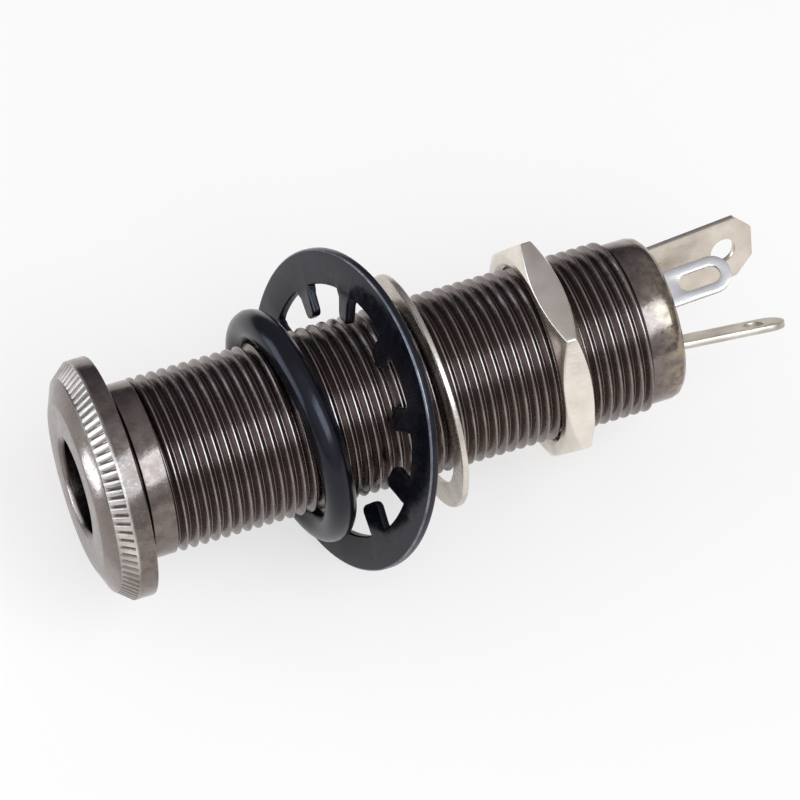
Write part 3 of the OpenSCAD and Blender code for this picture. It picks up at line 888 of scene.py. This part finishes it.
nut_corner_r = 2 * NUT_FLAT_R / math.sqrt(3)
nut_crown_r = NUT_FLAT_R - NUT_EDGE
nut_blank_r = nut_corner_r + NUT_EDGE
nut_cut = (nut_blank_r - nut_crown_r) * math.tan(math.radians(NUT_CHAMFER))
nut_bm = turn([
    (NUT_FRONT, NUT_BORE_R + 2 * NUT_EDGE, 0.05),
    (NUT_FRONT, nut_crown_r, 0.08),
    (NUT_FRONT + nut_cut, nut_blank_r, 0),
    (NUT_BACK - nut_cut, nut_blank_r, 0),
    (NUT_BACK, nut_crown_r, 0.08),
    (NUT_BACK, NUT_BORE_R + NUT_EDGE, 0.05),
    (NUT_BACK - NUT_EDGE, NUT_BORE_R, 0),
    (NUT_FRONT + 2 * NUT_EDGE, NUT_BORE_R, 0),
], steps=FINE_AROUND)
close_up(nut_bm)
print("nut blank:", len(nut_bm.faces), "faces")

# %% Mill the six flats
FIRST_FLAT, FLATS = 37, 6
NUT_ROUND, NUT_SHARP, MILLED_MARGIN = 0.12, math.radians(15), 0.02

for flat in range(FLATS):
    aim = math.radians(FIRST_FLAT + 360 / FLATS * flat)
    facing = Vector((0, math.cos(aim), math.sin(aim)))
    flat_rim = slice_off(nut_bm, facing * (NUT_FLAT_R * MM), facing)
    bmesh.ops.contextual_create(nut_bm, geom=flat_rim)
close_up(nut_bm)


def is_milled(edge):
    """A sharp edge of a flat, as far out as the flats are."""
    inner = min(Vector((0, corner.co.y, corner.co.z)).length for corner in edge.verts)
    return edge.calc_face_angle() > NUT_SHARP and inner > (NUT_FLAT_R - MILLED_MARGIN) * MM


milled = [edge for edge in nut_bm.edges if edge.is_manifold and is_milled(edge)]
soften(nut_bm, milled, NUT_ROUND, segments=3, clamp=True)
finish_piece("panel_nut", nut_bm, nickel_bright, "nut", "hex_nut")

# %% [markdown]
# ## The solder lugs
#
# Each lug is stamped from thin sheet with an eye for the wire. The sleeve's lug is nickel
# plated, the other two are tinned and duller. An outline and its eye are filled as one flat
# sheet, a line is scored where it leaves the barrel, the free end is bent at that line, and
# then the sheet is thickened and its edges are eased. Cutting the eye out of a finished
# plate would leave ragged faces round it.

# %% Lug finishes
sleeve_nickel = scratched_metal("sleeve_lug_nickel", (0.62, 0.55, 0.47),
                                (0.77, 0.70, 0.61), 0.24, 0.40)
ring_tin = scratched_metal("ring_lug_tin", (0.70, 0.70, 0.70), (0.86, 0.86, 0.87), 0.16, 0.30)
tip_tin = scratched_metal("tip_lug_tin", (0.48, 0.43, 0.36), (0.66, 0.61, 0.53), 0.32, 0.50)

# %% Lines for stamped sheet
LUG_FROM, HALF_CIRCLE_STEPS = 35.3, 20


def closed_line(bm, points):
    corners = [bm.verts.new((x * MM, y * MM, 0)) for x, y in points]
    for first, second in zip(corners, corners[1:] + corners[:1]):
        bm.edges.new((first, second))


def half_circle(x, radius, start):
    """Points of a half circle about (x, 0), from a start angle in degrees."""
    angles = [math.radians(start + 180 * i / HALF_CIRCLE_STEPS)
              for i in range(HALF_CIRCLE_STEPS + 1)]
    return [(x + radius * math.cos(angle), radius * math.sin(angle)) for angle in angles]


def round_eye(x, radius):
    return half_circle(x, radius, 0)[:-1] + half_circle(x, radius, 180)[:-1]


def round_ended(width, end):
    """A strip from inside the barrel to a round end."""
    side = width / 2
    return [(LUG_FROM, -side)] + half_circle(end - side, side, -90) + [(LUG_FROM, side)]


print("lugs start", round(REAR_X - LUG_FROM, 2), "mm inside the barrel")

# %% Stamp, bend and thicken a lug
LUG_T, LUG_ROUND, LUG_SHARP = 0.45, 0.06, 60
BEND_MARGIN = 0.01


def stamp_lug(outline, eye, outer_r, at, splay):
    """A lug whose outside is this far from the axis, at an angle round it, bent outwards."""
    bm = bmesh.new()
    closed_line(bm, outline)
    closed_line(bm, eye)
    bmesh.ops.triangle_fill(bm, edges=bm.edges[:], use_beauty=True, use_dissolve=False)
    bmesh.ops.bisect_plane(bm, geom=everything(bm), dist=SAME_PLACE,
                           plane_co=AXIS * (REAR_X * MM), plane_no=AXIS)
    close_up(bm)
    free_end = [corner for corner in bm.verts if corner.co.x > (REAR_X + BEND_MARGIN) * MM]
    bmesh.ops.rotate(bm, cent=AXIS * (REAR_X * MM), verts=free_end,
                     matrix=Matrix.Rotation(-math.radians(splay), 3, "Y"))
    thicken(bm, LUG_T, Vector((0, 0, 1)))
    close_up(bm)
    round_edges(bm, LUG_ROUND, sharper_than=LUG_SHARP)
    bmesh.ops.translate(bm, vec=(0, 0, (outer_r - LUG_T / 2) * MM), verts=bm.verts[:])
    bmesh.ops.rotate(bm, cent=CENTRE, verts=bm.verts[:],
                     matrix=Matrix.Rotation(math.radians(at - 90), 3, "X"))
    return bm


print("lugs are", LUG_T, "mm thick")

# %% Sleeve lug with a neck and cut corners
SLEEVE_W, SLEEVE_LEN, SLEEVE_CUT = 4.9, 9.3, 1.3
SLEEVE_NECK_W, SLEEVE_NECK = 3.4, 0.5
SLEEVE_EYE_R, SLEEVE_EYE_IN = 0.95, 2.3
SLEEVE_R, SLEEVE_AT, SLEEVE_SPLAY = 4.3, -14, 7

side, neck, end = SLEEVE_W / 2, SLEEVE_NECK_W / 2, REAR_X + SLEEVE_LEN
shoulder = REAR_X + SLEEVE_NECK
lower_edge = [(LUG_FROM, -neck), (shoulder, -neck), (shoulder + side - neck, -side),
              (end - SLEEVE_CUT, -side), (end, -side + SLEEVE_CUT)]
sleeve_bm = stamp_lug(lower_edge + [(x, -y) for x, y in reversed(lower_edge)],
                      round_eye(end - SLEEVE_EYE_IN, SLEEVE_EYE_R),
                      SLEEVE_R, SLEEVE_AT, SLEEVE_SPLAY)
finish_piece("sleeve_solder_lug", sleeve_bm, sleeve_nickel, "jack", "sleeve_lug")

# %% Ring lug with a long eye
RING_W, RING_LEN = 2.6, 4.6
RING_EYE_R, RING_EYE_LEN, RING_EYE_IN = 0.625, 2.9, 0.75
RING_LUG_R, RING_AT, RING_SPLAY = 4.35, 107, 8

end = REAR_X + RING_LEN
ring_eye = (half_circle(end - RING_EYE_IN - RING_EYE_R, RING_EYE_R, -90)
            + half_circle(end - RING_EYE_IN - RING_EYE_LEN + RING_EYE_R, RING_EYE_R, 90))
ring_bm = stamp_lug(round_ended(RING_W, end), ring_eye, RING_LUG_R, RING_AT, RING_SPLAY)
finish_piece("ring_solder_lug", ring_bm, ring_tin, "jack", "ring_lug")

# %% Tip lug with a small eye
TIP_W, TIP_LEN, TIP_EYE_R, TIP_EYE_IN = 2.6, 8.8, 0.7, 2.2
TIP_R, TIP_AT, TIP_SPLAY = 2.4, 232, 5

end = REAR_X + TIP_LEN
tip_bm = stamp_lug(round_ended(TIP_W, end), round_eye(end - TIP_EYE_IN, TIP_EYE_R),
                   TIP_R, TIP_AT, TIP_SPLAY)
finish_piece("tip_solder_lug", tip_bm, tip_tin, "jack", "tip_lug")

# %% [markdown]
# ## Inside: insulators and contact blades
#
# The two insulating discs and the two contact blades are plain shapes that hardly show.
# They could be modelled again, but their solids have every edge that matters, so they stay
# and only get a finish: brown paper laminate with a fibrous grain, and spring brass that is
# rolled along its length.

# %% Laminate and spring brass
FIBRE, FIBRE_DEPTH, FIBRE_STRETCH = 0.5, 0.01, (4, 1, 0.25)

board_brown, board_tree, board_shader = new_finish("paper_laminate", metal=0.0)
fibres = clouds(board_tree, lay_out(board_tree, FIBRE_STRETCH), FIBRE, detail=6.0)
set_colour(board_tree, board_shader, colour_steps(board_tree, fibres, [
    (0.30, (0.055, 0.024, 0.012)),
    (0.50, (0.105, 0.048, 0.022)),
    (0.75, (0.170, 0.086, 0.042)),
]))
set_rough(board_tree, board_shader, fibres, 0.42, 0.62)
dent(board_tree, board_shader, fibres, FIBRE_DEPTH)
blade_brass = scratched_metal("spring_brass", (0.62, 0.46, 0.22), (0.76, 0.60, 0.34), 0.20, 0.36)

# %% Dress the inside
for node_name, node_finish in (("front_insulator", board_brown), ("rear_insulator", board_brown),
                               ("ring_blade", blade_brass), ("tip_blade", blade_brass)):
    node_mesh = frame["nodes"][node_name].data
    node_mesh.materials.clear()
    node_mesh.materials.append(node_finish)
    print(node_name, "gets", node_finish.name)

# %% [markdown]
# ## The white table
#
# A jack like this is photographed on a white table. A lit white sheet never looks quite
# white, so the paper also glows a little for the camera, and less in reflections, where the
# shadow under the jack has to stay. The lamps are slightly cool and the paper slightly warm,
# which together give white. Far behind the jack the table turns grey, because the barrel's
# far side mirrors that end of it and is dark in the photograph.

# %% Lay the table
FLOOR_DROP, FLOOR_HALF = 0.4, 400
LOOK_AT = Vector((20, 0, 0)) * MM

floor_bm = bmesh.new()
bmesh.ops.create_grid(floor_bm, x_segments=2, y_segments=2, size=FLOOR_HALF * MM)
bmesh.ops.translate(floor_bm, vec=(LOOK_AT.x, 0, solid_box[0][2] - FLOOR_DROP * MM),
                    verts=floor_bm.verts[:])
floor_mesh = bpy.data.meshes.new("table")
floor_bm.to_mesh(floor_mesh)
floor_bm.free()
floor = bpy.data.objects.new("table", floor_mesh)
bpy.context.scene.collection.objects.link(floor)
print("floor at z =", round(floor_mesh.vertices[0].co.z / MM, 2), "mm")

# %% Paper, white near the jack and grey far behind it
WHITE_TO, GREY_FROM, PAPER_CLOUD = 100, 220, 60
FAR_GREY = (0.30, 0.30, 0.31)

paper, paper_tree, paper_shader = new_finish("table_paper", metal=0.0)
paper_place = lay_out(paper_tree)
far_away = fade(paper_tree, along_axis(paper_tree, paper_place, "Y"), WHITE_TO, GREY_FROM)
near_white = colour_steps(paper_tree, clouds(paper_tree, paper_place, PAPER_CLOUD),
                          [(0.3, (0.95, 0.875, 0.815)), (0.7, (0.97, 0.895, 0.835))])
set_colour(paper_tree, paper_shader, mix_colours(paper_tree, far_away, near_white, FAR_GREY))
paper_shader.inputs["Roughness"].default_value = 0.9
paper_shader.inputs["Specular IOR Level"].default_value = 0.1
floor_mesh.materials.append(paper)
print("table is white up to y =", WHITE_TO, "mm")

# %% Let the paper glow for the camera and in reflections
SEEN_GLOW, MIRRORED_GLOW = 0.62, 0.30

rays = paper_tree.nodes.new("ShaderNodeLightPath")
glowing = rescale(paper_tree, rays.outputs["Is Camera Ray"], (0, 1), (0, SEEN_GLOW))
for kind in ("Is Glossy Ray", "Is Transmission Ray"):
    mirrored = rescale(paper_tree, rays.outputs[kind], (0, 1), (0, MIRRORED_GLOW))
    either = paper_tree.nodes.new("ShaderNodeMath")
    either.operation = "MAXIMUM"
    paper_tree.links.new(glowing, either.inputs[0])
    paper_tree.links.new(mirrored, either.inputs[1])
    glowing = either.outputs["Value"]
glow = paper_tree.nodes.new("ShaderNodeEmission")
glow_colour = mix_colours(paper_tree, far_away, (1.0, 1.0, 1.0), FAR_GREY)
paper_tree.links.new(glow_colour, glow.inputs["Color"])
show = paper_tree.nodes.new("ShaderNodeMixShader")
paper_tree.links.new(glowing, show.inputs["Fac"])
paper_tree.links.new(paper_shader.outputs["BSDF"], show.inputs[1])
paper_tree.links.new(glow.outputs["Emission"], show.inputs[2])
paper_tree.links.new(show.outputs["Shader"], paper_tree.nodes["Material Output"].inputs["Surface"])
print("paper glows", SEEN_GLOW, "for the camera and", MIRRORED_GLOW, "in reflections")

# %% [markdown]
# ## Light
#
# A polished cylinder shows a lamp only where the lamp mirrors the camera, so the large soft
# light stands on the far side of the view's mirror line and draws one bright band along the
# barrel. A wide panel at the left lights the knurl, and a card no larger than a stamp lights
# the flange's bevel. The sky is pale in front and dark behind, which keeps the far side of
# the barrel dark. More lamps would only add more bands.

# %% Soft lights
COOL_WHITE = (0.80, 0.91, 1.0)
CARD_PLACE, CARD_BACK = Vector((-21, 4.5, -3)), Vector((-0.85, 0.36, -0.39))
CARD_W, CARD_H, CARD_WATTS = 7, 4.5, 0.0008


def from_side(azimuth, elevation):
    """Direction from the object: azimuth 0 is its front right side, -Y."""
    a, e = math.radians(azimuth), math.radians(elevation)
    return Vector((math.sin(a) * math.cos(e), -math.cos(a) * math.cos(e), math.sin(e)))


def soft_light(name, place, back, width, height, watts):
    """A lamp with its back turned to a direction. Sizes are in metres."""
    lamp = bpy.data.lights.new(name, "AREA")
    lamp.shape = "RECTANGLE"
    lamp.color = COOL_WHITE
    lamp.size, lamp.size_y, lamp.energy = width, height, watts
    light = bpy.data.objects.new(name, lamp)
    light.location = place
    light.rotation_euler = back.to_track_quat("Z", "Y").to_euler()
    bpy.context.scene.collection.objects.link(light)
    print(name, "at", [round(c / MM, 1) for c in place], "mm")
    return light


for lamp_name, azimuth, elevation, distance, width, height, watts in (
        ("soft_key", 18, 49, 0.50, 0.42, 0.33, 1.8),
        ("left_panel", -108, 18, 0.45, 0.46, 0.26, 0.9)):
    lamp_side = from_side(azimuth, elevation)
    soft_light(lamp_name, LOOK_AT + lamp_side * distance, lamp_side, width, height, watts)
card = soft_light("flange_card", CARD_PLACE * MM, CARD_BACK, CARD_W * MM, CARD_H * MM, CARD_WATTS)
card.visible_camera = False

# %% Sky
PALE_SIDE = from_side(0, 50)

sky = bpy.data.worlds.new("room")
sky.use_nodes = True
sky_tree = sky.node_tree
direction = sky_tree.nodes.new("ShaderNodeTexCoord")
towards_front = reach(sky_tree, direction.outputs["Generated"], PALE_SIDE)
sky_colour = colour_steps(sky_tree, rescale(sky_tree, towards_front, (-1, 1), (0, 1)), [
    (0.20, (0.10, 0.10, 0.11)),
    (0.45, (0.30, 0.30, 0.34)),
    (0.72, (0.42, 0.40, 0.42)),
    (0.90, (0.74, 0.74, 0.77)),
])
sky_tree.links.new(sky_colour, sky_tree.nodes["Background"].inputs["Color"])
bpy.context.scene.world = sky
bpy.context.scene.view_settings.view_transform = "Standard"
print("sky is palest towards", [round(c, 2) for c in PALE_SIDE])

# %% [markdown]
# ## The camera
#
# The viewpoint was worked out from the photograph: high on the right of the flange, with a
# long lens. It could be set by eye, but then no edge would land where the photograph has
# it. The picture is 800 by 800, so the lens is given as if it were measured in those
# pixels, and a small shift puts the barrel in its place.

# %% Place the camera
AZIMUTH, ELEVATION, DISTANCE = -20.89, 50.94, 0.300
FOCUS_PIXELS, PICTURE = 4484, 800
MIDDLE_X, MIDDLE_Y = 401.9, 391.2

lens = bpy.data.cameras.new("photo_view")
lens.sensor_width = 36
lens.lens = FOCUS_PIXELS / PICTURE * lens.sensor_width
lens.shift_x = (PICTURE / 2 - MIDDLE_X) / PICTURE
lens.shift_y = (MIDDLE_Y - PICTURE / 2) / PICTURE
lens.clip_start, lens.clip_end = 0.01, 10
camera = bpy.data.objects.new("photo_view", lens)
camera.location = LOOK_AT + from_side(AZIMUTH, ELEVATION) * DISTANCE
camera.rotation_euler = from_side(AZIMUTH, ELEVATION).to_track_quat("Z", "Y").to_euler()
bpy.context.scene.collection.objects.link(camera)
bpy.context.scene.camera = camera
print("camera lens", round(lens.lens, 1), "mm")

# %% [markdown]
# ## Inside the solids' box
#
# Rounded edges and the helix only take material away, so the dressed part has to stay inside
# the solids' box.

# %% Finish
print("scene built")
